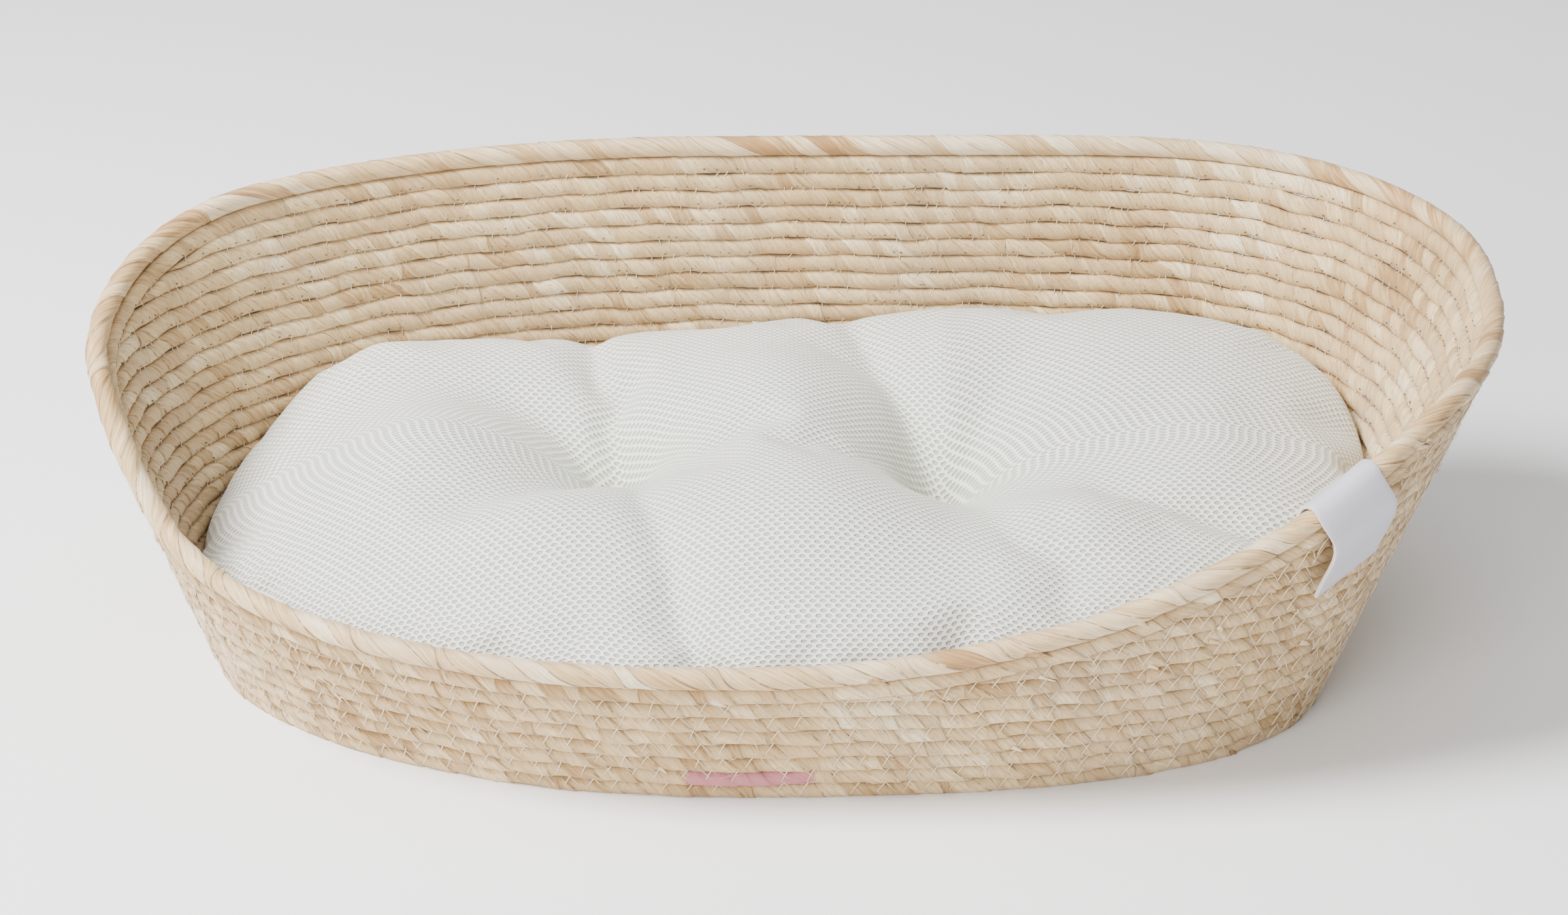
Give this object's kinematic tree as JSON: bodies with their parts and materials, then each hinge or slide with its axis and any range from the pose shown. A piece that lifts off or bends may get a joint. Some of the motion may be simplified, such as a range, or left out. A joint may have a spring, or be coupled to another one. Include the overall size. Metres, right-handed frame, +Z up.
{
  "type": "pet bed basket",
  "caption": "Oval pet bed basket of sewn corn-husk rope with a high back, a low front and a loose tufted mesh cushion.",
  "frame": {"origin": "centre of the footprint's box, on the surface the basket stands on", "axes": "+X along the basket's length to the right, +Y from the low front to the high back, +Z up"},
  "size_m": [0.6396, 0.3338, 0.1952],
  "materials": {
    "husk_rope": "matt, fibrous, twisted corn husk",
    "rim_husk": "smooth satin corn husk wraps",
    "tag_leather": "smooth white synthetic leather",
    "mesh_fabric": "off-white air mesh",
    "filling": "loose polyester fibre",
    "tuft_thread": "twisted thread"
  },
  "bodies": {
    "basket": {"base_coil": "husk_rope", "follow_row": "husk_rope", "rim_rope": "rim_husk", "tag": "tag_leather", "wall_row_01": "husk_rope", "wall_row_02": "husk_rope", "wall_row_03": "husk_rope", "wall_row_04": "husk_rope", "wall_row_05": "husk_rope", "wall_row_06": "husk_rope", "wall_row_07": "husk_rope", "wall_row_08": "husk_rope", "wall_row_09": "husk_rope", "wall_row_10": "husk_rope", "wall_row_11": "husk_rope", "wall_row_12": "husk_rope", "wall_row_13": "husk_rope", "wall_row_14": "husk_rope", "wall_row_15": "husk_rope", "wall_row_16": "husk_rope", "wall_row_17": "husk_rope", "wall_row_18": "husk_rope", "wall_row_19": "husk_rope", "wall_row_20": "husk_rope", "wall_row_21": "husk_rope"},
    "cushion": {"cushion_bottom_panel": "mesh_fabric", "cushion_filling": "filling", "cushion_tie_left": "tuft_thread", "cushion_tie_right": "tuft_thread", "cushion_top_panel": "mesh_fabric"}
  },
  "joints": [
    {"name": "cushion_lift", "type": "slide", "parent": "basket", "child": "cushion", "axis": [0, 0, 1], "range_m": [0, 0.25]}
  ]
}
